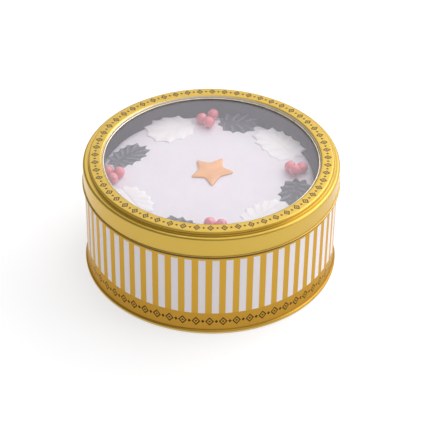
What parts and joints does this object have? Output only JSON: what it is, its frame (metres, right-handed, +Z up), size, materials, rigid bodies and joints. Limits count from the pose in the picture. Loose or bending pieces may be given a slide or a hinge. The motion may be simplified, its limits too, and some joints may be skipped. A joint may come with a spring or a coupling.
{
  "type": "iced christmas cake in a windowed tin",
  "caption": "Round gold slip-lid tin with a clear window in the lid, holding a white iced Christmas cake topped with a star, holly leaves and berries.",
  "frame": {"origin": "centre of the tin's foot ring, on the surface it stands on", "axes": "+Z up, -Y towards the front of the picture, +X to the right"},
  "size_m": [0.1782, 0.1782, 0.0839],
  "materials": {
    "tin_print": "satin gold and white striped print on tinplate",
    "lid_gold": "satin gold lacquer on tinplate",
    "clear_window": "clear glossy film",
    "icing": "satin white sugar icing",
    "star_icing": "satin peach gold sugar paste",
    "dark_leaf": "matt dark green sugar paste",
    "white_leaf": "matt white sugar paste",
    "berry": "glossy red sugar paste"
  },
  "bodies": {
    "root": {"tin_body": "tin_print", "tin_lid": "lid_gold", "lid_window": "clear_window", "iced_cake": "icing", "icing_star": "star_icing", "leaf_dark_back": "dark_leaf", "leaf_white_back": "white_leaf", "berry_back_1": "berry", "berry_back_2": "berry", "berry_back_3": "berry", "leaf_dark_right": "dark_leaf", "leaf_white_right": "white_leaf", "berry_right_1": "berry", "berry_right_2": "berry", "berry_right_3": "berry", "leaf_dark_front": "dark_leaf", "leaf_white_front": "white_leaf", "berry_front_1": "berry", "berry_front_2": "berry", "berry_front_3": "berry", "leaf_dark_left": "dark_leaf", "leaf_white_left": "white_leaf", "berry_left_1": "berry", "berry_left_2": "berry", "berry_left_3": "berry"}
  },
  "joints": []
}
